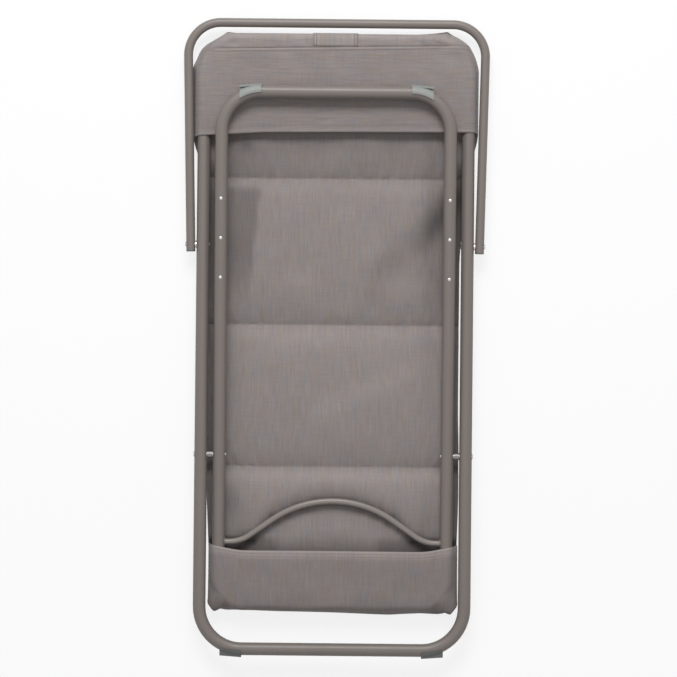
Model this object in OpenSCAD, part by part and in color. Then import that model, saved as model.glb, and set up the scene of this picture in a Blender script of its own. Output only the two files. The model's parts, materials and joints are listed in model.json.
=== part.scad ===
// Folding deck chair with a padded sling, folded flat and lying on its user side.
// X runs across the chair, Y towards the head end, Z up towards the back of the chair.
// The origin is on the floor, below the middle of the folded chair.

/* [Tubes] */
// Outside diameter of the back frame and seat frame tube
main_d = 25.4; // [22:0.2:30]
// Wall of the main tube
main_wall = 1.2; // [0.8:0.1:2]
// Outside diameter of the prop frame tube
prop_d = 18; // [14:0.5:20]
// Wall of the prop frame tube
prop_wall = 1.1; // [0.8:0.1:2]
// Diameter of the wavy brace
brace_d = 12; // [8:0.5:14]
// Wall of the wavy brace
brace_wall = 1; // [0.8:0.1:2]

/* [Back frame] */
// Outside width of the back frame
back_w = 555; // [545:1:620]
// From the fold pivot to the middle of the head bar
head_reach = 830; // [780:5:900]
// From the fold pivot to the middle of the base bar
base_reach = 388; // [350:2:440]
// Bend radius of the two base corners, at the tube's middle
base_bend = 85; // [65:1:105]
// Bend radius of the two head corners, at the tube's middle
head_bend = 70; // [50:2:100]

/* [Seat frame] */
// From the middle of the head bar back to the middle of the foot bar
foot_in = 106; // [80:2:140]
// From the fold pivot to the middle of the front bar
front_reach = 298; // [270:2:330]
// Bend radius of the foot corners, at the tube's middle
foot_bend = 78; // [60:1:100]
// Bend radius of the front corners, at the tube's middle
front_bend = 50; // [40:2:80]
// From the middle of the front bar to the straight ends of the brace
brace_in = 123; // [118:1:150]
// How far the brace arches towards the fold pivot
brace_rise = 83; // [50:1:100]
// From the middles of the seat legs to the ends of the brace's arch
arch_in = 21; // [14:1:80]
// Steepest slope of the brace's arch
arch_slope = 35; // [31:1:50]
// Share of the arch's bends that its crown takes, the rest being the bends at its two ends
crown_share = 0.75; // [0.5:0.01:0.85]

/* [Prop frame] */
// From the fold pivot to the prop pivot
prop_pivot_reach = 420; // [380:2:460]
// From the middle of the head bar to the middle of the prop bar
prop_past_head = 35; // [32:1:80]
// Angle at which each prop leg leans out towards the bar
prop_splay = 1.28; // [0.8:0.02:3]
// Bend radius of the prop frame's corners, at the tube's middle
prop_bend = 65; // [45:1:90]
// From the prop pivot to the cut end of a prop leg
prop_tail = 12; // [10:0.5:20]
// Wall of a plug's cap at the end of a prop leg
plug_cap = 2.5; // [1.5:0.1:4]
// Length of a plug inside the prop leg
plug_len = 6; // [4:0.5:7]

/* [Pivots] */
// Diameter of the fold rivets
fold_rivet_d = 8; // [6:0.5:10]
// Diameter of the prop rivets
prop_rivet_d = 6; // [5:0.5:7]
// Diameter of a fold rivet's heads
fold_head_d = 12; // [11:0.5:16]
// Diameter of a prop rivet's heads
prop_head_d = 10; // [9:0.5:12]
// Height of a rivet head
rivet_head = 2.4; // [1.5:0.1:4]
// Outside diameter of the fold spacers
spacer_d = 14; // [12:0.5:18]
// Length of a fold spacer, between the seat frame's leg and the back frame's
spacer_len = 11.5; // [8:0.1:25]
// Outside diameter of the prop washers
washer_d = 14; // [12:0.5:18]
// Thickness of a prop washer, between the back frame's leg and the prop leg
washer_t = 2.4; // [2:0.1:6]
// Radial play of a rivet in the tube that turns on it
rivet_play = 0.1; // [0.05:0.01:0.1]
// Play between a turning tube and the spacer, washer or head beside it
side_play = 0.1; // [0.05:0.01:0.3]
// Gap left between the prop bar and the legs and studs that it leans on
stop_gap = 0.3; // [0.1:0.05:0.6]

/* [Stop studs] */
// From the middle of the foot bar back to the stud for the most reclined back
last_stud_in = 213; // [197:1:227]
// Step from one stud to the next
stud_step = 78.5; // [60:0.5:90]
// Diameter of a stud's peg
stud_d = 11; // [8:0.5:14]
// Height of a stud's peg
stud_h = 13; // [10:0.5:14]
// Diameter of the rivet that holds a stud
stud_rivet_d = 5; // [4:0.5:7]
// Height of the stud rivet's head
stud_rivet_head = 1.4; // [0.8:0.1:2]

/* [Feet] */
// Length of a foot along the bar
foot_len = 43; // [36:1:50]
// Wall of a foot round the tube
foot_wall = 2.2; // [1.5:0.1:4]
// Thickness of a foot's sole below the tube
sole_h = 4; // [3:0.1:7]
// Width of a foot's sole
sole_w = 18; // [12:0.5:22]
// How much of a foot's turn round the bend its flat sole takes
sole_tilt_share = 0.17; // [0.1:0.01:0.3]
// Angle to which a base foot wraps round each side of the tube
base_wrap = 84; // [60:1:88]
// Angle to which a rear foot wraps round each side of the tube
rear_wrap = 78; // [60:1:88]

/* [Fabric] */
// Thickness of the hood and pocket fabric
fabric_t = 2.2; // [1.5:0.1:3]
// Gap between the fabric and the tubes inside it
fabric_gap = 0.3; // [0.2:0.05:0.6]
// From the hood's hem to the middle of the head bar
hood_depth = 185; // [150:5:230]
// From the upper edge of the front pocket to the middle of the front bar
pocket_depth = 109; // [100:1:110]
// From the middle of the head bar to the seam that closes the hood round it
hood_seam_in = 15; // [12:1:30]
// Width of the band over the head bar
band_w = 84; // [50:1:120]
// Thickness of the band over the head bar
band_t = 1.2; // [0.8:0.1:2]

/* [Sling] */
// Width of the sling from its middle to the front
sling_w = 502; // [440:2:520]
// Width of the sling inside the hood
sling_head_w = 560; // [555:1:590]
// From the fold pivot to the first cross seam
seam_upper = 555; // [520:5:590]
// From the fold pivot to the second cross seam
seam_middle = 261; // [230:1:300]
// From the fold pivot, towards the front, to the third cross seam
seam_lower = 24; // [22:1:30]
// From the fold pivot to where the sling starts to bend with the fold
bend_start = 27; // [25:1:40]
// Height of the cross seams' underside above the floor
seam_low = 7; // [5:0.5:8]
// Height of the cross seams' upper side above the floor
seam_high = 11; // [9:0.5:12]
// How far a panel swells up past its seams
swell = 8; // [4:0.5:9]
// Corner radius of the sling at its front end
front_corner_r = 20; // [10:1:40]
// Depth of the flat patch on which each panel rests
flat_cut = 0.5; // [0.3:0.1:0.8]
// Fabric under the head bar and the front bar
under_bars = 15.5; // [14.5:0.5:20]

/* [Hidden] */
$fn = 64;

LEFT = -1;
RIGHT = 1;
overrun = 1;
join_h = 0.03;
join_len = 1;
taupe = "#80786f";
sling_grey = "#8a827e";
hood_grey = "#918884";
steel = "silver";
dark_plastic = "#5d625f";
pale_plastic = "#9ba29c";

// Radii and half widths at the tubes' middle lines
main_r = main_d / 2;
prop_r = prop_d / 2;
brace_r = brace_d / 2;
back_x = back_w / 2 - main_r;
seat_x = back_x - main_d - spacer_len - side_play;
// Each prop leg leans out, so it needs more room beside the edge of its washer and of its rivet's head
washer_room = side_play + washer_d / 2 * tan(prop_splay);
head_room = side_play + prop_head_d / 2 * tan(prop_splay);
prop_x = back_x + main_r + washer_t + washer_room + prop_r;
foot_reach = head_reach - foot_in;
first_stud = foot_reach - last_stud_in - 2 * stud_step;
prop_reach = head_reach + prop_past_head - prop_pivot_reach;
brace_reach = front_reach - brace_in;
hood_hem = head_reach - hood_depth;
hood_seam = head_reach - hood_seam_in;
pocket_hem = front_reach - pocket_depth;
wrap_in = main_r + fabric_gap;
wrap_out = wrap_in + fabric_t;

// At rest the seat frame's legs lie on the hood's hem, so the two frames are not quite parallel
rest_angle = asin((wrap_out + fabric_gap + main_r) / hood_hem);
// Both bars that carry the sling lie at one height, which sets how each frame leans
back_lean = atan2(front_reach * sin(rest_angle), head_reach + front_reach * cos(rest_angle));
seat_lean = rest_angle - back_lean;
bar_z = under_bars + main_r;
pivot_z = bar_z + head_reach * sin(back_lean);

// The folded chair is centred on the origin along Y
top_end = (prop_pivot_reach + prop_reach) * cos(back_lean) + prop_r;
foot_out = main_r + sole_h;
base_end = (base_reach + foot_out) * cos(back_lean) + sole_w / 2 * sin(back_lean);
pivot_y = (base_end - top_end) / 2;

// The prop bar rests against the pivot side of the first stud when the back is most upright
stop_along = first_stud - stud_d / 2 - prop_r - stop_gap;
stop_out = main_r + prop_r + stop_gap;
stop_dist = norm([stop_along, stop_out]);
stop_lean = atan2(stop_out, stop_along);
fold_angle = acos((pow(prop_pivot_reach, 2) + pow(stop_dist, 2) - pow(prop_reach, 2))
    / (2 * prop_pivot_reach * stop_dist)) + stop_lean;
prop_angle = 180 - acos((pow(prop_pivot_reach, 2) + pow(prop_reach, 2) - pow(stop_dist, 2))
    / (2 * prop_pivot_reach * prop_reach));
echo(pivot_y = pivot_y, pivot_z = pivot_z, back_lean = back_lean, seat_lean = seat_lean);
echo(prop_y = pivot_y + prop_pivot_reach * cos(back_lean),
    prop_z = pivot_z - prop_pivot_reach * sin(back_lean));
echo(fold_range = fold_angle - rest_angle, prop_range = prop_angle);
echo(wrap_out = wrap_out, back_x = back_x, seat_x = seat_x, prop_x = prop_x);
echo(prop_reach = prop_reach, brace_reach = brace_reach, hood_hem = hood_hem, pocket_hem = pocket_hem);
echo(foot_reach = foot_reach, first_stud = first_stud);

module in_back_frame() {
    translate([0, pivot_y, pivot_z]) rotate([-back_lean, 0, 0]) children();
}

module in_seat_frame() {
    translate([0, pivot_y, pivot_z]) rotate([seat_lean, 0, 0]) children();
}

module on_side(side) {
    mirror([side == LEFT ? 1 : 0, 0, 0]) children();
}

module on_both_sides() {
    for (side = [LEFT, RIGHT]) on_side(side) children();
}

// Round bar along X from one place to another
module rod_x(r, from, to) {
    translate([from, 0, 0]) rotate([0, 90, 0]) cylinder(r = r, h = to - from);
}

// Round bar along Y from one place to another
module rod_y(r, from, to) {
    translate([0, from, 0]) rotate([-90, 0, 0]) cylinder(r = r, h = to - from);
}

// Hair-thin rings that make one piece of two lengths of bent bar where they meet
module join_x(r) {
    rod_x(r + join_h, -join_len / 2, join_len / 2);
}

module join_y(r) {
    rod_y(r + join_h, -join_len / 2, join_len / 2);
}

// Part of a ring in the XY plane, from one angle, through a number of degrees
module bend(bend_r, r, start, turn) {
    rotate([0, 0, start]) rotate_extrude(angle = turn) translate([bend_r, 0]) circle(r = r);
}

// Solid loop of bent bar: two legs, two end bars and four round corners
module loop_bar(half_w, near, far, near_bend, far_bend, r) {
    on_both_sides() {
        translate([half_w, 0, 0]) rod_y(r, near + near_bend, far - far_bend);
        translate([half_w - far_bend, far - far_bend, 0]) bend(far_bend, r, 0, 90);
        translate([half_w - near_bend, near + near_bend, 0]) bend(near_bend, r, -90, 90);
    }
    translate([0, far, 0]) rod_x(r, far_bend - half_w, half_w - far_bend);
    translate([0, near, 0]) rod_x(r, near_bend - half_w, half_w - near_bend);
}

module main_loop(half_w, near, far, near_bend, far_bend) {
    difference() {
        loop_bar(half_w, near, far, near_bend, far_bend, main_r);
        loop_bar(half_w, near, far, near_bend, far_bend, main_r - main_wall);
    }
}

// Cross holes for the rivets of a pair of legs
module cross_holes(along, r, half_w, reach) {
    on_both_sides() translate([0, along, 0]) rod_x(r, half_w - reach, half_w + reach);
}

module back_frame() {
    color(taupe) in_back_frame() difference() {
        main_loop(back_x, -base_reach, head_reach, base_bend, head_bend);
        cross_holes(0, fold_rivet_d / 2, back_x, main_d);
        cross_holes(prop_pivot_reach, prop_rivet_d / 2, back_x, main_d);
    }
}

function stud_place(number) = first_stud + (number - 1) * stud_step;

module seat_frame() {
    color(taupe) in_seat_frame() difference() {
        main_loop(seat_x, -front_reach, foot_reach, front_bend, foot_bend);
        cross_holes(0, fold_rivet_d / 2 + rivet_play, seat_x, main_d);
        on_both_sides() for (number = [1:3])
            translate([seat_x, stud_place(number), -main_d]) cylinder(r = stud_rivet_d / 2, h = 2 * main_d);
    }
}

// Each side of the arch is half its crown, a straight slope and a bend into the straight end, all tangent
arch_half_w = seat_x - arch_in;
bend_sum = (arch_half_w * sin(arch_slope) - brace_rise * cos(arch_slope)) / (1 - cos(arch_slope));
crown_bend = bend_sum * crown_share;
arch_end_bend = bend_sum - crown_bend;
slope_len = (arch_half_w - bend_sum * sin(arch_slope)) / cos(arch_slope);

module brace_bar(r) {
    translate([0, brace_rise - crown_bend, 0]) bend(crown_bend, r, 90 - arch_slope, 2 * arch_slope);
    on_both_sides() {
        translate([0, brace_rise - crown_bend, 0]) rotate([0, 0, -arch_slope]) translate([0, crown_bend, 0]) {
            join_x(r);
            rod_x(r, 0, slope_len);
            translate([slope_len, 0, 0]) join_x(r);
        }
        translate([arch_half_w, arch_end_bend, 0]) bend(arch_end_bend, r, 270 - arch_slope, arch_slope);
        translate([arch_half_w, 0, 0]) join_x(r);
        rod_x(r, arch_half_w, seat_x);
    }
}

module seat_brace() {
    color(taupe) in_seat_frame() translate([0, -brace_reach, 0]) difference() {
        brace_bar(brace_r);
        brace_bar(brace_r - brace_wall);
        on_both_sides() translate([seat_x, 0, 0]) rod_y(main_r, -main_d, main_d);
    }
}

// The leg's middle line at the cut end and where its bend starts, from the prop pivot
splay_in = prop_tail * sin(prop_splay);
bend_turn = 90 + prop_splay;
bend_drop = prop_bend * (1 + sin(prop_splay));
straight_len = (prop_reach - bend_drop) / cos(prop_splay);
bend_x = prop_x + straight_len * sin(prop_splay) - prop_bend * cos(prop_splay);
bend_y = prop_reach - prop_bend;

module in_prop_leg(side) {
    on_side(side) translate([prop_x, prop_pivot_reach, 0]) rotate([0, 0, -prop_splay]) children();
}

module prop_bar(r, tail) {
    translate([0, prop_pivot_reach + prop_reach, 0]) rod_x(r, -bend_x, bend_x);
    for (side = [LEFT, RIGHT]) {
        on_side(side) translate([bend_x, prop_pivot_reach + prop_reach, 0]) join_x(r);
        on_side(side) translate([bend_x, prop_pivot_reach + bend_y, 0])
            bend(prop_bend, r, -prop_splay, bend_turn);
        in_prop_leg(side) translate([0, straight_len, 0]) join_y(r);
        in_prop_leg(side) rod_y(r, -tail, straight_len);
    }
}

module prop_frame() {
    color(taupe) in_back_frame() difference() {
        prop_bar(prop_r, prop_tail);
        prop_bar(prop_r - prop_wall, prop_tail + overrun);
        cross_holes(prop_pivot_reach, prop_rivet_d / 2 + rivet_play, prop_x, prop_d);
    }
}

// Cap and spigot that close the cut end of a prop leg
module prop_end_plug(side) {
    color(dark_plastic) in_back_frame() in_prop_leg(side) {
        rod_y(prop_r, -prop_tail - plug_cap, -prop_tail);
        rod_y(prop_r - prop_wall, -prop_tail, plug_len - prop_tail);
    }
}

// Domed rivet head that stands on the plane x = at and points along X
module rivet_dome(at, r, h, outward) {
    ball_r = (r * r + h * h) / (2 * h);
    translate([at, 0, 0]) rotate([0, outward * 90, 0]) intersection() {
        translate([0, 0, h - ball_r]) sphere(r = ball_r);
        cylinder(r = r, h = h);
    }
}

seat_in = seat_x - main_r;
seat_out = seat_x + main_r;
back_in = back_x - main_r;
back_out = back_x + main_r;
prop_in = prop_x - prop_r;
prop_out = prop_x + prop_r;

module fold_rivet(side) {
    color(steel) in_back_frame() on_side(side) {
        rod_x(fold_rivet_d / 2, seat_in - side_play, back_out);
        rivet_dome(seat_in - side_play, fold_head_d / 2, rivet_head, -1);
        rivet_dome(back_out, fold_head_d / 2, rivet_head, 1);
    }
}

module collar_x(outer_r, inner_r, from, to) {
    difference() {
        rod_x(outer_r, from, to);
        rod_x(inner_r, from - overrun, to + overrun);
    }
}

module fold_spacer(side) {
    color(steel) in_back_frame() on_side(side)
        collar_x(spacer_d / 2, fold_rivet_d / 2, seat_out + side_play, back_in);
}

module prop_rivet(side) {
    color(steel) in_back_frame() translate([0, prop_pivot_reach, 0]) on_side(side) {
        rod_x(prop_rivet_d / 2, back_in, prop_out + head_room);
        rivet_dome(back_in, prop_head_d / 2, rivet_head, -1);
        rivet_dome(prop_out + head_room, prop_head_d / 2, rivet_head, 1);
    }
}

module prop_washer(side) {
    color(steel) in_back_frame() translate([0, prop_pivot_reach, 0]) on_side(side)
        collar_x(washer_d / 2, prop_rivet_d / 2, back_out, prop_in - washer_room);
}

// Peg on the user side of the leg, its rivet through the tube and the rivet's head on the back
module stop_stud(side, number) {
    edge = stud_d / 8;
    color(steel) in_seat_frame() on_side(side) translate([seat_x, stud_place(number), 0]) {
        difference() {
            translate([0, 0, -main_r - stud_h]) {
                translate([0, 0, edge]) cylinder(r = stud_d / 2, h = stud_h + main_r - edge);
                cylinder(r1 = stud_d / 2 - edge, r2 = stud_d / 2, h = edge);
            }
            rod_y(main_r, -stud_d, stud_d);
        }
        translate([0, 0, -main_r]) cylinder(r = stud_rivet_d / 2, h = main_d);
        translate([0, 0, main_r]) rotate([0, -90, 0])
            rivet_dome(0, stud_rivet_d / 2 + stud_rivet_head / 2, stud_rivet_head, 1);
    }
}

// Outline of a foot round the tube, with the block for its sole: X points away from the chair
module foot_outline(wrap, reach) {
    far = 2 * (main_r + foot_wall);
    difference() {
        union() {
            intersection() {
                circle(r = main_r + foot_wall);
                polygon([[0, 0], far * [cos(wrap), -sin(wrap)], [far, -far], [far, far],
                    far * [cos(wrap), sin(wrap)]]);
            }
            translate([0, -sole_w / 2]) square([reach, sole_w]);
        }
        circle(r = main_r);
    }
}

// Foot on the right-hand bend of a bar whose far side points along +Y, cut flat by its sole
module foot(half_w, bend_r, bar_at, wrap) {
    turn = asin(foot_len / (bend_r + foot_out));
    reach = (bend_r + foot_out) / cos(turn) - bend_r;
    translate([half_w - bend_r, bar_at - bend_r, 0]) intersection() {
        rotate([0, 0, 90 - turn]) rotate_extrude(angle = turn)
            translate([bend_r, 0]) foot_outline(wrap, reach);
        translate([0, bend_r + foot_out, 0]) rotate([0, 0, -turn * sole_tilt_share])
            translate([-foot_len, -3 * foot_len, -main_d]) cube([3 * foot_len, 3 * foot_len, 2 * main_d]);
    }
}

module base_foot(side) {
    color(dark_plastic) in_back_frame() on_side(side) mirror([0, 1, 0])
        foot(back_x, base_bend, base_reach, base_wrap);
}

module rear_foot(side) {
    color(pale_plastic) in_seat_frame() on_side(side)
        foot(seat_x, foot_bend, foot_reach, rear_wrap);
}

// Section of a fabric sleeve: over the top of the tube, round its outer side and down to the sling
module sleeve_outline(drop) {
    difference() {
        circle(r = wrap_out);
        circle(r = wrap_in);
        translate([-2 * wrap_out, -2 * wrap_out]) square([2 * wrap_out, 4 * wrap_out]);
        translate([-wrap_out, -2 * wrap_out]) square([3 * wrap_out, 2 * wrap_out]);
    }
    translate([wrap_in, -drop]) square([fabric_t, drop]);
}

// Fabric sleeve over the end of a frame that points along +Y, with a flap between the legs
module end_sleeve(half_w, bar_at, bend_r, hem_at, drop) {
    on_both_sides() {
        translate([half_w, bar_at - bend_r, 0]) rotate([90, 0, 0])
            linear_extrude(bar_at - bend_r - hem_at) sleeve_outline(drop);
        translate([half_w - bend_r, bar_at - bend_r, 0])
            rotate_extrude(angle = 90) translate([bend_r, 0]) sleeve_outline(drop);
    }
    translate([bend_r - half_w, bar_at, 0]) rotate([90, 0, 90])
        linear_extrude(2 * (half_w - bend_r)) sleeve_outline(drop);
    translate([0, 0, wrap_in]) linear_extrude(fabric_t) {
        translate([-half_w, hem_at]) square([2 * half_w, bar_at - bend_r - hem_at]);
        translate([bend_r - half_w, bar_at - bend_r]) square([2 * (half_w - bend_r), bend_r]);
        on_both_sides() translate([half_w - bend_r, bar_at - bend_r]) intersection() {
            circle(r = bend_r);
            square(bend_r);
        }
    }
}

// The hood reaches down to the sling's edge, and the front pocket to the swell inside its corners
corner_swell_share = 0.2;
sleeve_drop = bar_z - seam_high - fabric_gap;
pocket_drop = sleeve_drop - swell * corner_swell_share;

module hood() {
    color(hood_grey) in_back_frame()
        end_sleeve(back_x, head_reach, head_bend, hood_hem, sleeve_drop);
}

module front_pocket() {
    color(sling_grey) in_seat_frame() mirror([0, 1, 0])
        end_sleeve(seat_x, front_reach, front_bend, pocket_hem, pocket_drop);
}

// Band that is sewn on at the hood's seam and runs over the head bar to the front
module head_band() {
    color(hood_grey) in_back_frame() translate([-band_w / 2, head_reach, 0])
        rotate([90, 0, 90]) linear_extrude(band_w) {
            difference() {
                circle(r = wrap_out + band_t);
                circle(r = wrap_out);
                translate([-2 * wrap_out, -2 * wrap_out]) square([2 * wrap_out, 4 * wrap_out]);
                translate([-wrap_out, -2 * wrap_out]) square([3 * wrap_out, 2 * wrap_out]);
            }
            translate([hood_seam - head_reach, wrap_out]) square([head_reach - hood_seam, band_t]);
            translate([wrap_out, -sleeve_drop]) square([band_t, sleeve_drop]);
        }
}

// The sling lies flat on the floor under both frames: heights are above the floor, places along Y
taper_from_share = 0.46;
taper_to_share = 0.74;
bump_power_share = 0.6;
panel_columns = 20;
panel_rows = 12;

function smooth(t) = let (c = min(1, max(0, t))) c * c * (3 - 2 * c);
function bump(t) = pow(max(0, 1 - t * t), bump_power_share);
function tapered_half(y) = sling_w / 2 + (sling_head_w - sling_w) / 2
    * smooth((y / head_reach - taper_from_share) / (taper_to_share - taper_from_share));
// Half width left by a round corner of radius r that ends at a distance from the sling's end
function corner_half(half_w, r, left) = half_w - r + sqrt(pow(r, 2) - pow(max(0, r - left), 2));
head_corner_r = head_bend + wrap_out;
function sling_half(y) = min(tapered_half(y),
    corner_half(back_x + wrap_out, head_corner_r, head_reach + wrap_out - y),
    corner_half(sling_w / 2, front_corner_r, y + front_reach + wrap_out));
function panel_top(u, v) = seam_high + swell * bump(u) * bump(v);
function panel_under(u, v) = max(0, seam_low - (seam_low + flat_cut) * bump(u) * bump(v));

// One panel between two seams, or a length of it, as a grid of points above and below
module sling_panel(from, to, near_seam, far_seam) {
    across = panel_columns + 1;
    count = across * (panel_rows + 1);
    function place(i, j, high) =
        let (y = from + (to - from) * (1 - cos(180 * j / panel_rows)) / 2)
        let (u = 2 * i / panel_columns - 1)
        let (v = 2 * (y - near_seam) / (far_seam - near_seam) - 1)
        [u * sling_half(y), y, high ? panel_top(u, v) : panel_under(u, v)];
    points = [for (high = [true, false]) for (j = [0:panel_rows]) for (i = [0:panel_columns])
        place(i, j, high)];
    function at(i, j, low) = low * count + j * across + i;
    function quad(a, b, c, d) = [[a, b, c], [a, c, d]];
    faces = [
        for (j = [0:panel_rows - 1]) for (i = [0:panel_columns - 1])
            each quad(at(i, j, 0), at(i, j + 1, 0), at(i + 1, j + 1, 0), at(i + 1, j, 0)),
        for (j = [0:panel_rows - 1]) for (i = [0:panel_columns - 1])
            each quad(at(i, j, 1), at(i + 1, j, 1), at(i + 1, j + 1, 1), at(i, j + 1, 1)),
        for (i = [0:panel_columns - 1])
            each quad(at(i, 0, 0), at(i + 1, 0, 0), at(i + 1, 0, 1), at(i, 0, 1)),
        for (i = [0:panel_columns - 1])
            each quad(at(i + 1, panel_rows, 0), at(i, panel_rows, 0),
                at(i, panel_rows, 1), at(i + 1, panel_rows, 1)),
        for (j = [0:panel_rows - 1])
            each quad(at(0, j + 1, 0), at(0, j, 0), at(0, j, 1), at(0, j + 1, 1)),
        for (j = [0:panel_rows - 1])
            each quad(at(panel_columns, j, 0), at(panel_columns, j + 1, 0),
                at(panel_columns, j + 1, 1), at(panel_columns, j, 1)),
    ];
    color(sling_grey) translate([0, pivot_y, 0]) polyhedron(points, faces);
}

sling_head_end = head_reach + wrap_in;
sling_front_end = front_reach + wrap_in;

module sling_head_panel() {
    sling_panel(seam_upper, sling_head_end, seam_upper, sling_head_end);
}

module sling_upper_panel() {
    sling_panel(seam_middle, seam_upper, seam_middle, seam_upper);
}

module sling_lower_panel() {
    sling_panel(bend_start, seam_middle, -seam_lower, seam_middle);
}

module sling_bend() {
    sling_panel(-seam_lower, bend_start, -seam_lower, seam_middle);
}

module sling_seat_panel() {
    sling_panel(-sling_front_end, -seam_lower, -sling_front_end, -seam_lower);
}

back_frame();
seat_frame();
seat_brace();
prop_frame();
prop_end_plug(LEFT);  // prop_end_plug_left
prop_end_plug(RIGHT);  // prop_end_plug_right
fold_rivet(LEFT);  // fold_rivet_left
fold_rivet(RIGHT);  // fold_rivet_right
fold_spacer(LEFT);  // fold_spacer_left
fold_spacer(RIGHT);  // fold_spacer_right
prop_rivet(LEFT);  // prop_rivet_left
prop_rivet(RIGHT);  // prop_rivet_right
prop_washer(LEFT);  // prop_washer_left
prop_washer(RIGHT);  // prop_washer_right
stop_stud(LEFT, 1);  // stop_stud_left_1
stop_stud(LEFT, 2);  // stop_stud_left_2
stop_stud(LEFT, 3);  // stop_stud_left_3
stop_stud(RIGHT, 1);  // stop_stud_right_1
stop_stud(RIGHT, 2);  // stop_stud_right_2
stop_stud(RIGHT, 3);  // stop_stud_right_3
base_foot(LEFT);  // base_foot_left
base_foot(RIGHT);  // base_foot_right
rear_foot(LEFT);  // rear_foot_left
rear_foot(RIGHT);  // rear_foot_right
hood();
head_band();
front_pocket();
sling_head_panel();
sling_upper_panel();
sling_lower_panel();
sling_bend();
sling_seat_panel();
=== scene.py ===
"""Folding deck chair, folded and lying on its user side: cloth, small details, finishes and light.

All lengths are in metres in the frame's axes: X across, Y towards the head end, Z up from the floor.
Cloth is laid out in the plane of the tube frame that carries it, with Y measured from the fold pivot,
and is then leaned with that frame.
"""

import json
import math

import bmesh
import bpy
import numpy as np
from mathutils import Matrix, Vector
from mathutils.bvhtree import BVHTree

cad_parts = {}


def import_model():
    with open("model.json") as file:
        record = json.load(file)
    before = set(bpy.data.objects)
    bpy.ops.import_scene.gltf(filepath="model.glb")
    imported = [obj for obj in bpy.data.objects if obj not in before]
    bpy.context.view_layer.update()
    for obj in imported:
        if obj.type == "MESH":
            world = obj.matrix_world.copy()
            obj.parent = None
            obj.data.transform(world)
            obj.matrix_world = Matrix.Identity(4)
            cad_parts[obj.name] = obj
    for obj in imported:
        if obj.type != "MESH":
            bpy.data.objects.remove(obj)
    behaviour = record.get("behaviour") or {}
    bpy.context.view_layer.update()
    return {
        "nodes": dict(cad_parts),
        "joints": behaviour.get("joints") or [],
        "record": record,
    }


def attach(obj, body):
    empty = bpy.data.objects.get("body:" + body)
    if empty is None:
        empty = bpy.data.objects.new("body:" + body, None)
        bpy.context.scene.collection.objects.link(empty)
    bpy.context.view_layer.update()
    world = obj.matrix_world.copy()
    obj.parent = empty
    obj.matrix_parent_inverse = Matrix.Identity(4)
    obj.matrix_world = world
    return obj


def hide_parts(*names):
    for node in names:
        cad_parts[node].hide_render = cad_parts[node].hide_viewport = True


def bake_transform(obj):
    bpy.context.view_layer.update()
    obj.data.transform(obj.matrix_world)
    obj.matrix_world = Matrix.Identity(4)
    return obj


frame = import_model()
scene = bpy.context.scene

MM = 0.001


def mm(*values):
    """Lengths given in millimetres."""
    return np.array(values) * MM


# Sizes shared with the frame
PIVOT_Y, PIVOT_Z = next(j["pos_m"][1:] for j in frame["joints"] if j["name"] == "fold")
BACK_LEAN = math.radians(-0.661926)
SEAT_LEAN = math.radians(1.8439)
TUBE_R = 12.7 * MM
BACK_X, HEAD_REACH, HEAD_BEND = mm(264.8, 830, 70)
SEAT_X, FRONT_REACH, FRONT_BEND = mm(227.8, 298, 50)
BASE_REACH, BASE_BEND = mm(388, 85)
FOOT_REACH, FOOT_BEND = mm(724, 78)
SEAMS = mm(555, 261, -24)

# The cloth round the tubes
WRAP_R = 13.7 * MM
EDGE_HEIGHT = 11 * MM
CLOTH_THICK = 1.5 * MM
LEG_STEP, BAR_STEP = mm(5, 4)


# Mesh helpers
def leaned(points, lean):
    """Points in the plane of a tube frame, placed in the row frame."""
    p = np.asarray(points, float)
    c, s = math.cos(lean), math.sin(lean)
    out = np.empty_like(p)
    out[..., 0] = p[..., 0]
    out[..., 1] = PIVOT_Y + p[..., 1] * c - p[..., 2] * s
    out[..., 2] = PIVOT_Z + p[..., 1] * s + p[..., 2] * c
    return out


def smooth(t):
    t = np.clip(t, 0, 1)
    return t * t * (3 - 2 * t)


def bell(t):
    return np.exp(-np.square(t))


# Soft shapes over a distance in metres. The places and widths that they take are in millimetres.
def ridge(d, at, wide):
    """1 at a place, fading out over a half-width on both sides."""
    return bell((d - at * MM) / (wide * MM))


def past(d, start, wide):
    """0 before a place and 1 after it, with a soft step that starts there."""
    return smooth((d - start * MM) / (wide * MM))


def before(d, end, wide):
    """1 before a place and 0 after it, with a soft step that ends there."""
    return smooth((end * MM - d) / (wide * MM))


def hollow(x, half):
    """1 on the middle line and 0 from a distance on both sides of it."""
    return np.cos(np.clip(x / (half * MM), -1, 1) * math.pi / 2) ** 2


def streak(x, y, ends, wide, wide_left=None, fade=0.2):
    """1 along a line in the cloth, fading out over its width and at its two ends.

    ends is X and Y of its start and its end, and wide_left the half-width on its left side.
    """
    x0, y0, x1, y1 = (v * MM for v in ends)
    dx, dy = x1 - x0, y1 - y0
    long = math.hypot(dx, dy)
    along = ((x - x0) * dx + (y - y0) * dy) / long ** 2
    off = ((x - x0) * dy - (y - y0) * dx) / long
    widths = np.where(off > 0, wide, wide if wide_left is None else wide_left) * MM
    return bell(off / widths) * smooth(along / fade) * smooth((1 - along) / fade)


def spots(x, y, table):
    """Sum of soft spots: middle X and Y, half-widths across and along, and step."""
    return sum(step * ridge(x, at_x, wide) * ridge(y, at_y, high) for at_x, at_y, wide, high, step in table)


def distances(line):
    """How far along the line each of its points is."""
    return np.concatenate([[0], np.linalg.norm(np.diff(line, axis=0), axis=1).cumsum()])


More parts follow.
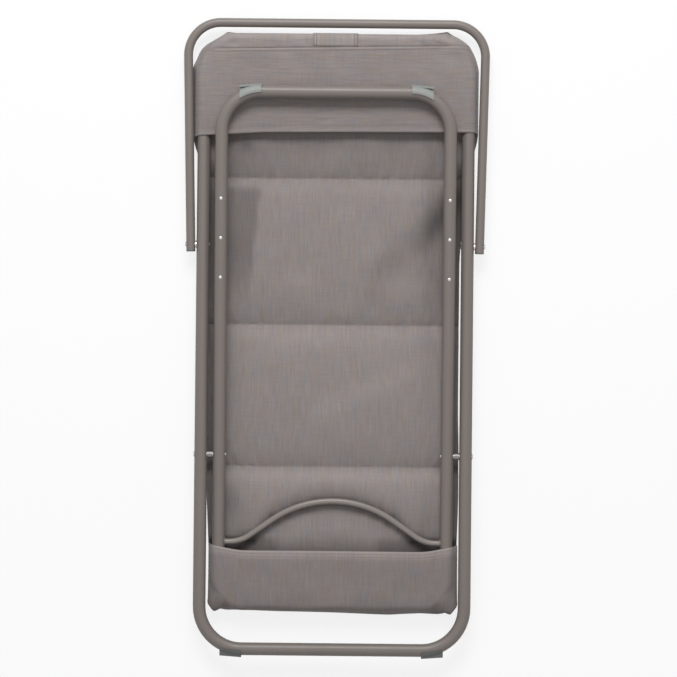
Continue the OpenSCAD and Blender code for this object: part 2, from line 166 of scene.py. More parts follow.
def new_object(name, points, faces, cloth_at=None):
    mesh = bpy.data.meshes.new(name)
    mesh.from_pydata([tuple(p) for p in np.asarray(points).reshape(-1, 3)], [], [tuple(f) for f in faces])
    mesh.update()
    mesh.shade_smooth()
    if cloth_at is not None:
        attribute = mesh.attributes.new("cloth_at", "FLOAT_VECTOR", "POINT")
        attribute.data.foreach_set("vector", np.asarray(cloth_at, np.float32).reshape(-1, 3).ravel())
    obj = bpy.data.objects.new(name, mesh)
    scene.collection.objects.link(obj)
    return obj


def points_of(mesh):
    return np.array([v.co for v in mesh.vertices], float)


def grid_faces(rows, columns, base=0, flip=False):
    r, c = np.meshgrid(np.arange(rows - 1), np.arange(columns - 1), indexing="ij")
    a = base + r * columns + c
    quads = np.stack([a, a + 1, a + columns + 1, a + columns], -1).reshape(-1, 4)
    return quads[:, ::-1] if flip else quads


def dressed(obj, material, body=None):
    obj.data.materials.append(material)
    if body:
        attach(obj, body)
    return obj


def rounded(obj):
    rounding = obj.modifiers.new("rounding", "SUBSURF")
    rounding.render_levels = 1


def thicken(obj, thickness):
    solid = obj.modifiers.new("thickness", "SOLIDIFY")
    solid.thickness = thickness
    solid.offset = 0
    solid.use_even_offset = True
    rounded(obj)


# Materials
def linear(colour):
    return [((c / 255 + 0.055) / 1.055) ** 2.4 if c > 10 else c / 255 / 12.92 for c in colour] + [1.0]


class Nodes:
    """A short way to build a node tree."""

    def __init__(self, owner):
        owner.use_nodes = True
        self.tree = owner.node_tree

    def add(self, kind, inputs=(), **settings):
        node = self.tree.nodes.new(kind)
        for key, value in settings.items():
            setattr(node, key, value)
        for socket, value in dict(inputs).items():
            if isinstance(value, bpy.types.NodeSocket):
                self.tree.links.new(value, node.inputs[socket])
            else:
                node.inputs[socket].default_value = value
        return node

    def link(self, source, target):
        self.tree.links.new(source, target)

    def math(self, operation, a, b=0.0, c=0.0):
        return self.add("ShaderNodeMath", {0: a, 1: b, 2: c}, operation=operation).outputs[0]


class Look(Nodes):
    """A material and its node tree."""

    def __init__(self, name, roughness, metallic=0.0, specular=0.5, sheen=0.0):
        self.material = bpy.data.materials.new(name)
        super().__init__(self.material)
        self.shader = self.tree.nodes["Principled BSDF"]
        values = {"Roughness": roughness, "Metallic": metallic, "Specular IOR Level": specular,
                  "Sheen Weight": sheen, "Sheen Roughness": 0.45}
        for socket, value in values.items():
            self.shader.inputs[socket].default_value = value

    def noise(self, vector, scale, detail=3.0):
        inputs = {"Vector": vector, "Scale": scale, "Detail": detail}
        return self.add("ShaderNodeTexNoise", inputs).outputs["Fac"]

    def stretched(self, vector, *scales):
        return self.add("ShaderNodeVectorMath", {0: vector, 1: scales}, operation="MULTIPLY").outputs[0]

    def varied(self, *parts):
        """1, made larger or smaller by noises: each part is (noise, reach)."""
        total = 1.0
        for noise, reach in parts:
            total = self.math("MULTIPLY_ADD", self.math("SUBTRACT", noise, 0.5), reach, total)
        return total

    def scaled_colour(self, colour, scale):
        lit = self.add("ShaderNodeVectorMath", {0: colour, "Scale": scale}, operation="SCALE")
        self.link(lit.outputs[0], self.shader.inputs["Base Color"])

    def tinted(self, colour, *parts):
        """Base colour, made lighter or darker by noises as in varied."""
        self.scaled_colour(linear(colour)[:3], self.varied(*parts))

    def uneven_gloss(self, noise, reach, roughness):
        self.link(self.math("MULTIPLY_ADD", noise, reach, roughness), self.shader.inputs["Roughness"])

    def bump(self, height, distance, strength):
        node = self.add("ShaderNodeBump", {"Height": height, "Distance": distance, "Strength": strength})
        self.link(node.outputs[0], self.shader.inputs["Normal"])


def object_coordinates(n):
    return n.add("ShaderNodeTexCoord").outputs["Object"]


def painted_steel(name, colour, roughness=0.34):
    n = Look(name, roughness=0.42)
    at = object_coordinates(n)
    n.tinted(colour, (n.noise(at, 9), 0.1), (n.noise(at, 260, 2), 0.08))
    n.bump(n.noise(at, 1400, 2), 0.12 * MM, 0.5)
    n.uneven_gloss(n.noise(at, 60, 4), 0.16, roughness)
    return n.material


def bright_steel(name, colour, roughness):
    n = Look(name, roughness=0.28, metallic=1.0)
    at = object_coordinates(n)
    n.tinted(colour, (n.noise(at, 300, 3), 0.12))
    n.bump(n.noise(n.stretched(at, 400, 3000, 3000), 1, 2), 0.03 * MM, 0.6)
    n.uneven_gloss(n.noise(at, 500, 3), 0.25, roughness)
    return n.material


def moulded_plastic(name, colour):
    n = Look(name, roughness=0.5, specular=0.45)
    at = object_coordinates(n)
    n.tinted(colour, (n.noise(at, 60, 3), 0.14), (n.noise(at, 700, 2), 0.06))
    n.bump(n.noise(at, 2200, 2), 0.1 * MM, 0.6)
    n.uneven_gloss(n.noise(at, 180, 3), 0.2, 0.4)
    return n.material


def woven(name, colour, lines, pitch=1.2 * MM, streaks=0.42, tone_from="shade", blotches=0.14, length=1.0,
          yarns=620):
    """Coarse melange canvas.

    lines is 0 where its strongest yarns run along the cloth's Y, 1 where along its X. streaks and blotches
    say how far single yarns and wide patches depart from the colour, length how long the yarns are, and yarns
    how many lie in a metre. tone_from names the point attribute of painted light and shade that darkens or
    lightens the cloth.
    """
    n = Look(name, roughness=0.8, specular=0.25, sheen=0.15)
    at = n.add("ShaderNodeAttribute", attribute_name="cloth_at").outputs["Vector"]
    parts = n.add("ShaderNodeSeparateXYZ", {0: at}).outputs
    across, along = (parts[0], parts[1]) if lines == 0 else (parts[1], parts[0])

    def yarn_noise(over, lengthwise):
        """Noise with one scale across the strong yarns and one along them."""
        scales = (over, lengthwise, 1) if lines == 0 else (lengthwise, over, 1)
        return n.noise(n.stretched(at, *scales), 1.0, 2)

    step = 2 * math.pi / pitch
    warp = n.math("SINE", n.math("MULTIPLY", across, step))
    weft = n.math("SINE", n.math("MULTIPLY", along, step * 0.7))
    over = n.math("MULTIPLY_ADD", n.math("MULTIPLY", warp, weft), 0.5, n.math("MULTIPLY", warp, 0.5))
    yarn = yarn_noise(yarns, 26 / length)
    slub = yarn_noise(170, 17 / length)
    crossing = yarn_noise(22, 480)
    tone = n.varied((yarn, streaks), (slub, streaks * 0.5), (crossing, streaks * 0.5),
                    (n.noise(at, 16, 4), blotches), (n.noise(at, 1300, 2), 0.16))
    tone = n.math("MULTIPLY_ADD", over, 0.03, tone)
    # Painted light and shade from the point attribute darkens or lightens the weave here
    if tone_from:
        tone = n.math("MULTIPLY", tone, n.add("ShaderNodeAttribute", attribute_name=tone_from).outputs["Fac"])
    warm = linear([c + d for c, d in zip(colour, (3, 0, -3))])
    cool = linear([c + d for c, d in zip(colour, (-3, 0, 4))])
    melange = n.math("ADD", n.math("MULTIPLY", yarn_noise(240, 16), 0.6),
                     n.math("MULTIPLY", n.noise(at, 42, 3), 0.4))
    melange = n.add("ShaderNodeMapRange", {"Value": melange, "From Min": 0.38, "From Max": 0.62}).outputs[0]
    mix = n.add("ShaderNodeMix", {0: melange, 6: warm, 7: cool}, data_type="RGBA")
    n.scaled_colour(mix.outputs[2], tone)
    n.bump(n.math("ADD", over, n.math("MULTIPLY", yarn, 1.2)), 0.5 * MM, 0.5)
    return n.material


TAUPE = painted_steel("taupe_paint", (119, 111, 106))
# A lighter, glossier copy of the taupe paint for the brace: a painted highlight
LIT_BRACE_TAUPE = painted_steel("brace_paint", (135, 126, 121), roughness=0.26)
STEEL = bright_steel("bright_steel", (198, 198, 196), roughness=0.2)
DULL_STEEL = bright_steel("dull_steel", (124, 124, 122), roughness=0.34)
DARK_PLASTIC = moulded_plastic("dark_plastic", (96, 98, 96))
PALE_PLASTIC = moulded_plastic("pale_plastic", (137, 140, 137))
HOOD_CLOTH = woven("hood_cloth", (143, 135, 132), lines=1, streaks=0.46, blotches=0.16, length=1.1, yarns=520)
BAND_CLOTH = woven("band_cloth", (152, 144, 140), lines=0, tone_from=None)
POCKET_CLOTH = woven("pocket_cloth", (136, 128, 125), lines=0)
SLING_CLOTH = woven("sling_cloth", (145, 137, 134), lines=0)
THREAD = woven("thread", (150, 142, 137), lines=0, pitch=0.6 * MM, tone_from=None)
DARK_THREAD = woven("dark_thread", (84, 80, 80), lines=0, pitch=0.6 * MM, tone_from=None)

SLOT_LOOKS = {"frame_paint": TAUPE, "rivet_steel": STEEL, "dark_plastic": DARK_PLASTIC,
              "pale_plastic": PALE_PLASTIC, "hood_fabric": HOOD_CLOTH, "sling_fabric": SLING_CLOTH}
node_slots = {s["node"]: s["material_slot"] for s in frame["record"]["subparts"]}
# The brace takes the lit copy of the taupe paint, and the fold spacers a duller steel
OWN_LOOKS = {"seat_brace": LIT_BRACE_TAUPE, "fold_spacer_left": DULL_STEEL, "fold_spacer_right": DULL_STEEL}
for node_name, node in frame["nodes"].items():
    node.data.materials.clear()
    node.data.materials.append(OWN_LOOKS.get(node_name, SLOT_LOOKS[node_slots[node_name]]))


# Cloth pulled over the end of a frame
HEM_ROWS = mm(0, 1.0, 2.0, 3.0, 4.2, 6, 8.5, 11, 12.4, 13.4, 14.4, 15.8, 18, 21)
HEM_REACH = 70 * MM  # how far from the hem the legs' cloth follows its slope
TURN_OVER = 40 * MM  # cloth between the sewn edge and the tube's middle line, where the weave starts
EAR_FROM, EAR_TO = mm(21, 36)  # how far out the sewn edge starts to be an ear, and is one


def leg_rows(hem, bend_from):
    """Places along a leg, from the hem to the start of the bend, close together at the hem."""
    more = int((bend_from - hem - HEM_ROWS[-1]) / LEG_STEP + 0.5)
    return np.concatenate([hem + HEM_ROWS, np.linspace(hem + HEM_ROWS[-1], bend_from, more + 1)[1:]])


def tube_path(half_w, reach, bend_r, hem_at, bend_step):
    """The tube's middle line from one hem, round the end bar, to the other hem, and its outward normals.

    Also gives how many points lie between a hem and the middle of its bend.
    """
    bends = int(bend_r * math.pi / 2 / bend_step) // 2 * 2
    bar = int(2 * (half_w - bend_r) / BAR_STEP)
    bend_x, bend_y = half_w - bend_r, reach - bend_r
    hems = hem_at(-half_w), hem_at(half_w)
    left = leg_rows(hems[0], bend_y)
    right = bend_y - (bend_y - left) * (bend_y - hems[1]) / (bend_y - hems[0])

    def bend(middle_x, start, end):
        turns = [(math.cos(a), math.sin(a)) for a in np.linspace(start, end, bends, endpoint=False)]
        return [(middle_x + bend_r * c, bend_y + bend_r * s, c, s) for c, s in turns]

    steps = [(-half_w, y, -1, 0) for y in left[:-1]]
    steps += bend(-bend_x, math.pi, math.pi / 2)
    steps += [(x, reach, 0, 1) for x in np.linspace(-bend_x, bend_x, bar, endpoint=False)]
    steps += bend(bend_x, math.pi / 2, 0)
    steps = np.array(steps + [(half_w, y, 1, 0) for y in right[::-1]])
    return steps[:, :2], steps[:, 2:], len(left) - 1 + bends // 2


def reach_to(outline, path):
    """How far each point of the path is from the outline, along its normal."""
    a, b = outline[:-1], outline[1:]
    found = []
    for p, n in zip(*path[:2]):
        e, w = b - a, a - p
        cross = n[0] * e[:, 1] - n[1] * e[:, 0]
        cross = np.where(np.abs(cross) < 1e-12, 1e-12, cross)
        along = (w[:, 0] * e[:, 1] - w[:, 1] * e[:, 0]) / cross
        share = (w[:, 0] * n[1] - w[:, 1] * n[0]) / cross
        found.append(along[(share >= -1e-6) & (share <= 1 + 1e-6) & (along > 0)].min())
    return np.array(found)


def wrap_section(wrap_r, out, low, drop_steps, arc_steps, inward):
    """One section of the cloth as (offset, height), from its sewn edge over the tube and inwards."""
    far, to = math.hypot(out, low), math.atan2(low, out)
    touch = to + math.acos(min(1.0, wrap_r / far))
    corner = (wrap_r * math.cos(touch), wrap_r * math.sin(touch))
    rows = [(out + (corner[0] - out) * t, low + (corner[1] - low) * t)
            for t in np.linspace(0, 1, drop_steps, endpoint=False)]
    rows += [(wrap_r * math.cos(a), wrap_r * math.sin(a)) for a in np.linspace(touch, math.pi / 2, arc_steps)]
    rows += [(-x, wrap_r) for x in inward]
    return rows


def ear_lows(outs, lows, flap, spread):
    """The sewn edge's height: at a corner, where it stands off the tube, it is a flat ear."""
    share = smooth((outs - EAR_FROM) / (EAR_TO - EAR_FROM))
    share = np.convolve(share, np.ones(spread) / spread, "same")
    return lows + (flap - lows) * share


def cover(name, path, outs, inward, lean, ends, relief, tone, toward=1, flap=-4 * MM, spread=1):
    """A sheet over the end of a frame, which lies towards the head (1) or the front (-1).

    The rim follows the tube, and a patch fills the flat part between the legs, from the bar to the hem. ends
    gives the hem's Y by X, relief the sheet's rise by X, Y and Z, and tone its painted light and shade by X
    and Y.
    """
    points, normals, side_count = path
    edge_z = EDGE_HEIGHT - (PIVOT_Z + toward * points[:, 1] * math.sin(lean))
    lows = ear_lows(outs, edge_z, flap, spread)
    rings = np.array([wrap_section(WRAP_R, o, l, 6, 8, inward) for o, l in zip(outs, lows)])
    count, depth = rings.shape[:2]
    plan = points[:, None, :] + normals[:, None, :] * rings[:, :, 0:1]
    hem_y = ends(points[:, :1])
    near_hem = (normals[:, 1:] == 0) * (1 - smooth((plan[:, :, 1] - hem_y) / HEM_REACH))
    plan[:, :, 1] += (ends(plan[:, :, 0]) - hem_y) * near_hem
    rim = np.concatenate([plan, rings[:, :, 1:2]], -1).transpose(1, 0, 2)

    inner = rim[-1]
    left, right = inner[:side_count + 1], inner[::-1][:side_count + 1]
    end = inner[side_count:count - side_count]
    u = np.linspace(0, 1, len(end))
    v = distances(left)
    hem = left[0] + (right[0] - left[0]) * u[:, None]
    hem[1:-1, 1] = ends(hem[1:-1, 0])
    U, V = u[None, :, None], (v / v[-1])[:, None, None]
    patch = ((1 - V) * hem[None] + V * end[None] + (1 - U) * left[:, None] + U * right[:, None]
             - (1 - U) * (1 - V) * left[0] - U * (1 - V) * right[0]
             - (1 - U) * V * left[-1] - U * V * right[-1])
    sheet_points = np.concatenate([rim.reshape(-1, 3), patch.reshape(-1, 3)])
    rows, columns = patch.shape[:2]
    faces = list(grid_faces(depth, count)) + list(grid_faces(rows, columns, depth * count, flip=True))
    x, y, z = sheet_points.T.copy()
    sheet_points[:, 2] += relief(x, y, z)

    lengths = np.concatenate([np.zeros((1, count)), np.linalg.norm(np.diff(rim, axis=0), axis=2).cumsum(0)])
    flat = points[None] - normals[None] * (lengths - TURN_OVER)[:, :, None]
    cloth = np.zeros_like(sheet_points)
    cloth[:, :2] = np.concatenate([flat.reshape(-1, 2), patch[..., :2].reshape(-1, 2)])
    sheet_points[:, 1] *= toward
    if toward < 0:
        faces = [f[::-1] for f in faces]
    obj = new_object(name, leaned(sheet_points, lean), faces, cloth)
    # The sheet's painted light and shade, which its cloth material multiplies the colour by
    shaded(obj, tone(x, y))
    join_twins(obj)
    thicken(obj, CLOTH_THICK)
    return obj


# Stores painted light and shade on a mesh's points, for the cloth material to multiply its colour by
def shaded(obj, values):
    attribute = obj.data.attributes.new("shade", "FLOAT", "POINT")
    attribute.data.foreach_set("value", np.asarray(values, np.float32))


def join_twins(obj):
    """Makes one mesh of the rim and the patch, which share their border's points."""
    b = bmesh.new()
    b.from_mesh(obj.data)
    bmesh.ops.remove_doubles(b, verts=b.verts, dist=1e-6)
    b.to_mesh(obj.data)
    b.free()


# Hood
HOOD_SEAM, SEAM_SLOPE = 814 * MM, 0.02


def hood_seam(x):
    return HOOD_SEAM + SEAM_SLOPE * x


def hood_seam_share(x):
    """1 along the seam, 0 past its two ends."""
    return before(np.abs(x), np.where(x < 0, 252, 272), 12)


# How much further out than a plain round corner the hood reaches at its left and right end, by the angle in
# the head bend: 0 at the side of the frame, 90 along its bar
CORNER_ANGLE = (0, 10, 15, 20, 35, 40, 45, 50, 60, 65, 75, 80, 90)
CORNER_OUT_LEFT = mm(6, 6, 4.5, 2.8, 3.6, 2.8, 2, 0, -0.8, -0.4, 0, 0, -0.4)
CORNER_OUT_RIGHT = mm(1, 2, 1.8, 2, 4, 5.6, 5.8, 5.6, 4.8, 3.6, 1.6, 2.4, 2.8)

# The pointed tips: their distance from the middle line, and how high the left and the right one stand
EAR_X = 221.5 * MM
EAR_HIGH = mm(6.4, 9.2)


def hood_outline():
    half_w, top, corner_r = mm(284, 844, 80)
    points = [(-half_w, 550 * MM), (-half_w, top - corner_r)]
    for a in np.linspace(math.pi, math.pi / 2, 60):
        points.append((corner_r - half_w + corner_r * math.cos(a), top - corner_r + corner_r * math.sin(a)))
    right = [(-x, y) for x, y in points[::-1]]
    points += [(x, top) for x in np.linspace(corner_r - half_w, half_w - corner_r, 80)[1:-1]]
    outline = np.array(points + right)
    is_left, from_middle = outline[:, 0] < 0, np.abs(outline[:, 0])
    ear = np.exp(-np.abs(from_middle - EAR_X) / np.where(from_middle < EAR_X, 18 * MM, 9 * MM))
    outline[:, 1] += np.where(outline[:, 1] > 800 * MM, ear * np.where(is_left, *EAR_HIGH), 0)
    angle = np.arctan2(outline[:, 1] - HEAD_REACH + HEAD_BEND, from_middle - BACK_X + HEAD_BEND)
    angle = angle.clip(0, math.pi / 2)
    out = [np.interp(np.degrees(angle), CORNER_ANGLE, row) for row in (CORNER_OUT_LEFT, CORNER_OUT_RIGHT)]
    out = np.where(is_left, *out) * past(from_middle, 110, 85)
    outline[:, 0] += np.sign(outline[:, 0]) * out * np.cos(angle)
    outline[:, 1] += out * np.sin(angle)
    return outline


HEM_AT = mm(-300, -225, -150, 0, 130, 300)
HEM_Y = mm(635.3, 639.3, 644.3, 646.2, 647, 647.6)


def hood_hem(x):
    return np.interp(x, HEM_AT, HEM_Y)


# Folds across the head bar: middle, half-width and rise (mm)
HOOD_FOLDS = ((-190, 6, 0.6), (-172, 5, -0.8), (-128, 3.2, -1.3), (-118, 4, 0.9), (-98, 3, -1.1),
              (-88, 4, 0.8), (-60, 3.4, -1.2), (-50, 5, 0.8), (75, 5, 0.5), (118, 4, -0.7), (150, 6, 0.7),
              (172, 4, -0.8))


def hood_relief(x, y, z):
    top = past(z, 2, 6)
    below = hood_seam(x) - y
    lap = hood_seam_share(x) * (1.5 * past(below, -0.6, 1.6) * (1 - past(below, 6, 30))
                                - 1.3 * ridge(below, -2.0, 2.2))
    sag = -2.2 * hollow(x, 240) * before(y, 800, 120)
    above_hem = y - hood_hem(x)
    hem = 0.9 * ridge(above_hem, 3.4, 2.4) - ridge(above_hem, 0, 1) - 0.2 * ridge(above_hem, 13.4, 1.3)
    folds = sum(rise * ridge(x, at, wide) for at, wide, rise in HOOD_FOLDS)
    folds *= past(y, 816, 6) * before(y, 846, 6)
    pucker = -2.6 * streak(x, y, (190, 836, 226, 812), 7.5) - 1.4 * streak(x, y, (152, 836, 186, 812), 6)
    pucker -= 2.2 * ridge(x, -208, 12) * ridge(y, 823, 6)
    for at, far in ((232, 10), (219, 13), (-222, 9), (-206, 12)):
        pucker += 0.5 * ridge(below, far, 1.6) * ridge(x, at, 22)
    drawn = 0.55 * np.sin(x * 95 + 4 * np.sin(x * 17)) * ridge(below, 0, 16) * past(below, 0, 3)
    ripple = 0.6 * np.sin(x * 47 + 3 * np.sin(y * 23)) * np.sin(y * 41 + 2 * np.sin(x * 11))
    ripple += 0.35 * np.sin(x * 21 + 1.0) * before(y, 720, 50)
    return top * MM * (lap + sag + folds + pucker + drawn + ripple + hem)


# Painted light and shade on the hood: painted highlights on the seam's lip, the hem's lip and the channel
# over the head bar; painted shade along the seam, on the steep left side wall, in puckers and folds; and
# darker towards the hem
def hood_painted_light(x, y):
    above_hem = y - hood_hem(x)
    over = y - hood_seam(x)
    tone = 1 + hood_seam_share(x) * (0.3 * ridge(over, -0.3, 1.3) - 0.3 * ridge(over, 2.2, 1.4)
                                     - 0.22 * ridge(over, -4, 1.8) + 0.06 * past(over, 1, 4))
    tone += 0.17 * ridge(y, 840, 8) + 0.03 * past(y, 770, 20) * before(y, 812, 10)
    tone += 0.2 * ridge(above_hem, 2.2, 1.6) - 0.03 * ridge(above_hem, 13.4, 1.2)
    tone -= 0.07 * before(y, 760, 100)
    # Painted shade on the steep left side wall beside the prop tube
    tone -= 0.68 * past(-x, 281.2, 1.6) * before(y, 785, 20)
    tone += 0.08 * past(np.abs(x), 272, 4)
    tone += spots(x, y, ((203, 822, 10, 7, -0.15), (222, 808, 16, 2, -0.14)))
    # Painted shade in the folds across the head bar
    for at in (-128, -98, -60, 118, 172):
        tone -= 0.09 * ridge(x, at, 3) * past(y, 815, 4)
    return tone


hood_path = tube_path(BACK_X, HEAD_REACH, HEAD_BEND, hood_hem, 2.4 * MM)
hood_outs = reach_to(hood_outline(), hood_path)
HOOD_INWARD = mm(2.5, 5, *range(7, 28), 30, 34, 39)
hood = cover("hood_cover", hood_path, hood_outs, HOOD_INWARD, BACK_LEAN, hood_hem, hood_relief, hood_painted_light)
dressed(hood, HOOD_CLOTH, "back")
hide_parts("hood")


# Front pocket
POCKET_SHIFT = 1.4 * MM


def pocket_outline():
    left = [(-250, 150), (-250, 290), (-251, 296), (-249, 301), (-244, 308), (-240, 313.5), (-237, 316.6)]
    left_tip = [(-235.4, 316.4), (-232, 312.4), (-228, 310), (-223, 310.8), (-216, 313), (-206, 314)]
    edge = [(-175, 313.8), (-143, 315.2), (-111, 316.2), (-47, 316.9), (-15, 317.5), (17, 318.3), (49, 319.5),
            (81, 320.5), (113, 321.3), (145, 319.4), (177, 317.8)]
    right_tip = [(200, 318), (214, 317.4), (222, 315.4), (226.5, 312.2), (230, 316), (233.4, 319.2)]
    right = [(236, 318), (240, 313), (244, 308), (249, 301), (251, 296), (250, 290), (250, 150)]
    return np.array(left + left_tip + edge + right_tip + right) * MM + [POCKET_SHIFT, 0]


def pocket_hem(x):
    return 191 * MM - 11 * MM * past(np.abs(x), 172, 85)


def pocket_relief(x, y, z):
    top = past(z, 2, 6)
    sag = -2.2 * hollow(x, 210) * before(y, 285, 50)
    above_hem = y - pocket_hem(x)
    hem = 0.8 * ridge(above_hem, 3.2, 2.4) - 1.4 * ridge(above_hem, 0, 1.4) - 0.2 * ridge(above_hem, 13, 1.3)
    folds = 1.1 * np.sin(x * 45 + 1.3) * past(y, 270, 30) * before(y, 310, 10)
    ripple = 0.9 * np.sin(x * 31 + 2 * np.sin(y * 19)) * np.sin(y * 29 + 1)
    return top * MM * (sag + folds + ripple + hem)


# Painted light and shade on the pocket: painted highlight on the cloth just above the hem; painted shade in
# the hem's line, towards the bend, on the steep side walls and top edge, and on the ears outside the bend
def pocket_painted_light(x, y):
    above_hem = y - pocket_hem(x)
    tone = 1.03 + 0.34 * np.exp(-np.maximum(above_hem, 0) / (13 * MM)) - 0.1 * past(y, 270, 40)
    tone += 0.12 * ridge(above_hem, 9, 6) - 0.03 * ridge(above_hem, 13, 1.2)
    tone += 0.16 * past(above_hem, 0, 3) * before(above_hem, 18, 6)
    tone -= 0.2 * ridge(above_hem, -0.5, 1)
    # Painted shade on the steep side walls and the top edge
    tone -= 0.24 * np.maximum(past(np.abs(x - POCKET_SHIFT), 241, 6), 0.6 * past(y, 307, 8))
    # Painted shade on the ears outside the front bend
    bend_x = np.maximum(np.abs(x) - SEAT_X + FRONT_BEND, 0)
    bend_y = np.maximum(y - FRONT_REACH + FRONT_BEND, 0)
    outside_bend = np.hypot(bend_x, bend_y) - FRONT_BEND
    tone -= 0.1 * past(outside_bend, 8, 6) * (bend_x > 0) * (bend_y > 0)
    return tone


pocket_path = tube_path(SEAT_X, FRONT_REACH, FRONT_BEND, pocket_hem, 2.2 * MM)
pocket_outs = reach_to(pocket_outline(), pocket_path)
POCKET_INWARD = mm(2.5, 5, 7.5, 10, 12.5, 15, 18, 22, 27, 33)
pocket = cover("front_pocket_cover", pocket_path, pocket_outs, POCKET_INWARD, SEAT_LEAN, pocket_hem,
               pocket_relief, pocket_painted_light, toward=-1, flap=10.5 * MM, spread=13)
dressed(pocket, POCKET_CLOTH, "seat")
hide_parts("front_pocket")


# Padded sling
SLING_FRONT, SLING_HEAD = mm(-311, 843)
SLING_MARKS = np.array([SLING_FRONT, *sorted(SEAMS), SLING_HEAD])
SLING_COLUMNS = 73
ROW_STEP = 7.2 * MM
SEAM_Z, SEAM_HALF = mm(8.4, 1.2)
PAD_UP, PAD_DOWN = mm(6.4, 5.6)

# Half-width of the sling to the left and to the right, by the distance from the pivot
SIDE_AT = mm(-320, -190, -90, 20, 90, 398, 470, 560, 596, 622, 645, 668, 900)
LEFT_EDGE = mm(247, 249, 254, 255, 255, 255, 257, 264, 275, 287.5, 290, 284, 284)
RIGHT_EDGE = mm(248, 250, 253, 252.5, 250.5, 250.5, 257, 264, 276.5, 280.5, 289, 284, 284)


def corner_round(left, r):
    """How far a round corner stands back at a distance from the end."""
    return r - np.sqrt(np.maximum(r * r - np.maximum(0, r - left) ** 2, 0))


def sling_sides(y):
    """Left and right edge of the sling at a distance from the pivot."""
    corner = corner_round(SLING_HEAD - y, 79 * MM) + corner_round(y - SLING_FRONT, 14 * MM)
    left, right = (np.mean([np.interp(y + d * MM, SIDE_AT, edge) for d in (-18, -9, 0, 9, 18)], axis=0)
                   for edge in (LEFT_EDGE, RIGHT_EDGE))
    return corner - left, right - corner


def seam_shares(y):
    """Where y is between its two seams, from -1 to 1."""
    k = np.clip(np.searchsorted(SLING_MARKS, y, side="right") - 1, 0, 3)
    return 2 * (y - SLING_MARKS[k]) / (SLING_MARKS[k + 1] - SLING_MARKS[k]) - 1


def sling_rows():
    """Places of the mesh's rows, closer together at the seams."""
    rows = []
    for a, b in zip(SLING_MARKS[:-1], SLING_MARKS[1:]):
        n = int((b - a) / ROW_STEP)
        t = np.arange(n) / n
        rows += list(a + (b - a) * (t - 0.12 * np.sin(2 * math.pi * t)))
    return np.array(rows + [SLING_MARKS[-1]])


def flattened_round(t, power):
    """A cross-section that is 1 over most of its width and falls to 0 at both ends."""
    return np.power(np.clip(1 - np.power(np.abs(t), power), 0, 1), 0.5)


def build_sling():
    """The sling as it is laid out: a closed mesh, which of its points are held, and how many are on top."""
    ys = sling_rows()
    crowding = 0.88 * math.pi / 2
    t = np.sin(np.linspace(-1, 1, SLING_COLUMNS) * crowding) / math.sin(crowding)
    left, right = sling_sides(ys)
    xs = left[:, None] + (right - left)[:, None] * (t[None, :] + 1) / 2
    Y = np.repeat(ys[:, None], SLING_COLUMNS, 1)
    v = seam_shares(ys)[:, None]
    full = (0.45 * (1 - v * v) + 0.55 * flattened_round(v, 7)) * flattened_round(t, 5)[None, :]
    top = np.stack([xs, Y + PIVOT_Y, SEAM_Z + SEAM_HALF + PAD_UP * full], -1)
    under = np.stack([xs, Y + PIVOT_Y, SEAM_Z - SEAM_HALF - PAD_DOWN * full], -1)
    rows, count = len(ys), len(ys) * SLING_COLUMNS
    faces = list(grid_faces(rows, SLING_COLUMNS)) + list(grid_faces(rows, SLING_COLUMNS, count, flip=True))
    at = np.arange(count).reshape(rows, -1)
    rim = [*at[0], *at[1:, -1], *at[-1, -2::-1], *at[-2:0:-1, 0]]
    faces += [(b, a, a + count, b + count) for a, b in zip(rim, rim[1:] + rim[:1])]
    cloth = np.stack([xs, Y, 0 * Y], -1)
    obj = new_object("padded_sling", [top, under], faces, [cloth, cloth])
    held = np.isin(np.round(ys, 6), np.round(SLING_MARKS, 6))
    return obj, np.tile(np.repeat(held, SLING_COLUMNS), 2), count


def puff(obj, held, pressure, frames, cap):
    """Blows a closed mesh up as cloth, with its held points fixed and every move kept under cap."""
    rest = points_of(obj.data)
    group = obj.vertex_groups.new(name="held")
    group.add([int(i) for i in np.flatnonzero(held)], 1.0, "REPLACE")
    cloth = obj.modifiers.new("cloth", "CLOTH")
    s = cloth.settings
    s.quality = 6
    s.mass = 0.3
    s.tension_stiffness = 12
    s.compression_stiffness = 12
    s.shear_stiffness = 6
    s.bending_stiffness = 0.35
    s.vertex_group_mass = "held"
    s.use_pressure = True
    s.uniform_pressure_force = pressure
    s.shrink_min = -0.012
    s.effector_weights.gravity = 0
    cloth.collision_settings.use_collision = False
    for f in range(1, frames + 1):
        scene.frame_set(f)
    graph = bpy.context.evaluated_depsgraph_get()
    made = obj.evaluated_get(graph).to_mesh()
    now = points_of(made)
    obj.evaluated_get(graph).to_mesh_clear()
    obj.modifiers.remove(cloth)
    obj.vertex_groups.remove(group)
    scene.frame_set(1)
    move = now - rest
    far = np.linalg.norm(move, axis=1, keepdims=True)
    return rest + move * (cap * np.tanh(far / cap) / np.maximum(far, 1e-9))


def kept_wide(co, rest):
    """The blown-up sling, stretched across so that each row is as wide as it was laid out."""
    rows = co[:, 0].reshape(2, -1, SLING_COLUMNS)
    want = rest[:, 0].reshape(2, -1, SLING_COLUMNS)
    low, want_low = (x.min((0, 2), keepdims=True) for x in (rows, want))
    high, want_high = (x.max((0, 2), keepdims=True) for x in (rows, want))
    co[:, 0] = (want_low + (rows - low) * (want_high - want_low) / (high - low)).ravel()
    return co


def dent(x, y):
    """The slack place beside the left leg, which ends in a sharp line: 1 at its deepest."""
    left_of_line = -149 * MM - 0.09 * (540 * MM - y) - x
    deep = past(left_of_line, 0, 7) * (0.6 + 0.4 * before(left_of_line, 75, 50))
    return deep * before(y, 542, 20) * past(y, 270, 140)


